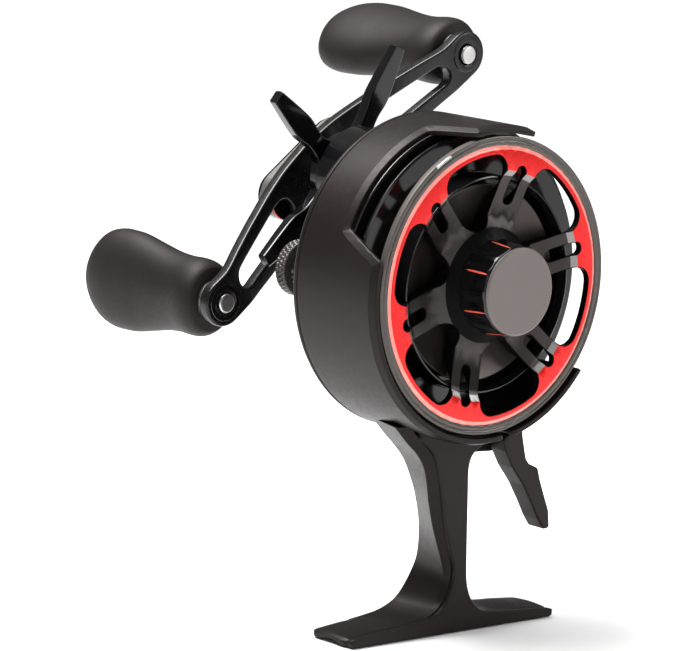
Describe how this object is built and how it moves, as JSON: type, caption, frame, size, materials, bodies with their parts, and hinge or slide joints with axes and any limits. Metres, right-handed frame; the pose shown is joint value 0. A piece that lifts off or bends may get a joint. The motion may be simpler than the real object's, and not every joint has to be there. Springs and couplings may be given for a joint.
{
  "type": "inline ice fishing reel",
  "caption": "Inline ice-fishing reel with ported spool, brake dial, star drag, double-paddle crank, free-spool trigger and reel foot.",
  "frame": {"origin": "centre of the flat underside of the reel foot", "axes": "+Z from the foot up to the spool, +Y along the spool axis to the crank side, +X along the foot to the trigger side"},
  "size_m": [0.0843, 0.1004, 0.1274],
  "materials": {
    "casting": "satin black coating",
    "anodised": "red anodised",
    "gloss": "gloss black",
    "machined": "brown grey anodised, fine turned lines",
    "steel": "brushed",
    "brass": "machined",
    "rubber": "soft-touch matt",
    "fibre": "pressed fibre",
    "polymer": "moulded",
    "magnet": "nickel plated"
  },
  "bodies": {
    "frame_body": {"frame": "casting", "rear_cover": "casting", "rear_cover_screw_1": "steel", "rear_cover_screw_2": "steel", "rear_cover_screw_3": "steel", "rear_cover_screw_4": "steel", "spindle": "steel", "pinion_bearing": "steel", "shaft_bush": "brass", "one_way_bearing": "steel", "boss_seal": "rubber", "trigger_pin": "steel", "trigger_spring": "steel"},
    "spool": {"spool_front_flange": "anodised", "spool_drum": "gloss", "spool_dish": "machined", "spool_hub": "machined", "spool_bearing_front": "steel", "spool_bearing_rear": "steel", "conductor_ring": "steel", "pinion_gear": "brass"},
    "dial": {"brake_dial": "gloss", "dial_face": "machined", "magnet_carrier": "polymer", "magnet_1": "magnet", "magnet_2": "magnet", "magnet_3": "magnet", "magnet_4": "magnet"},
    "crank": {"handle_shaft": "steel", "drive_gear": "brass", "drag_washer_fibre_1": "fibre", "drag_washer_metal": "steel", "drag_washer_fibre_2": "fibre", "drag_pressure_plate": "steel", "shaft_sleeve": "steel", "star_spring_washer": "steel", "crank_arm": "casting", "handle_nut": "steel", "nut_cover": "machined", "nut_cover_cap": "gloss", "nut_cover_screw": "steel", "knob_post_left": "steel", "knob_post_right": "steel", "knob_collar_left": "steel", "knob_collar_right": "steel"},
    "star": {"drag_star": "gloss"},
    "paddle_left": {"knob_left": "rubber", "knob_bush_left": "polymer", "knob_cap_left": "gloss"},
    "paddle_right": {"knob_right": "rubber", "knob_bush_right": "polymer", "knob_cap_right": "gloss"},
    "trigger": {"trigger_lever": "casting"},
    "yoke": {"clutch_yoke": "steel"},
    "clicker": {"click_knob": "machined", "click_pawl": "steel"}
  },
  "joints": [
    {"name": "crank_spin", "type": "hinge", "parent": "frame_body", "child": "crank", "pos_m": [0, 0.03, 0.0935], "axis": [0, 1, 0], "continuous": true},
    {"name": "spool_spin", "type": "hinge", "parent": "frame_body", "child": "spool", "pos_m": [0, -0.008, 0.0765], "axis": [0, 1, 0], "continuous": true},
    {"name": "star_turn", "type": "hinge", "parent": "crank", "child": "star", "pos_m": [0, 0.036, 0.0935], "axis": [0, 1, 0], "range_deg": [-180, 180]},
    {"name": "paddle_left_spin", "type": "hinge", "parent": "crank", "child": "paddle_left", "pos_m": [-0.03338, 0.05, 0.0676], "axis": [0, 1, 0], "continuous": true},
    {"name": "paddle_right_spin", "type": "hinge", "parent": "crank", "child": "paddle_right", "pos_m": [0.03338, 0.05, 0.1194], "axis": [0, 1, 0], "continuous": true},
    {"name": "dial_turn", "type": "hinge", "parent": "frame_body", "child": "dial", "pos_m": [0, -0.018, 0.0765], "axis": [0, 1, 0], "range_deg": [-135, 135]},
    {"name": "trigger_pull", "type": "hinge", "parent": "frame_body", "child": "trigger", "pos_m": [0.0131, -0.006, 0.0403], "axis": [0, 1, 0], "range_deg": [0, 18], "stiffness_Nm_per_rad": 0.02, "springref_deg": -17.19},
    {"name": "yoke_tilt", "type": "hinge", "parent": "frame_body", "child": "yoke", "pos_m": [0, 0.0022, 0.0545], "axis": [-1, 0, 0], "range_deg": [0, 3.2]},
    {"name": "click_turn", "type": "hinge", "parent": "frame_body", "child": "clicker", "pos_m": [-0.0208, 0.025, 0.0759], "axis": [0, 1, 0], "range_deg": [0, 60]}
  ],
  "couplings": [
    {"joint": "spool_spin", "follows": "crank_spin", "ratio": -2.5789},
    {"joint": "yoke_tilt", "follows": "trigger_pull", "ratio": 0.17}
  ]
}
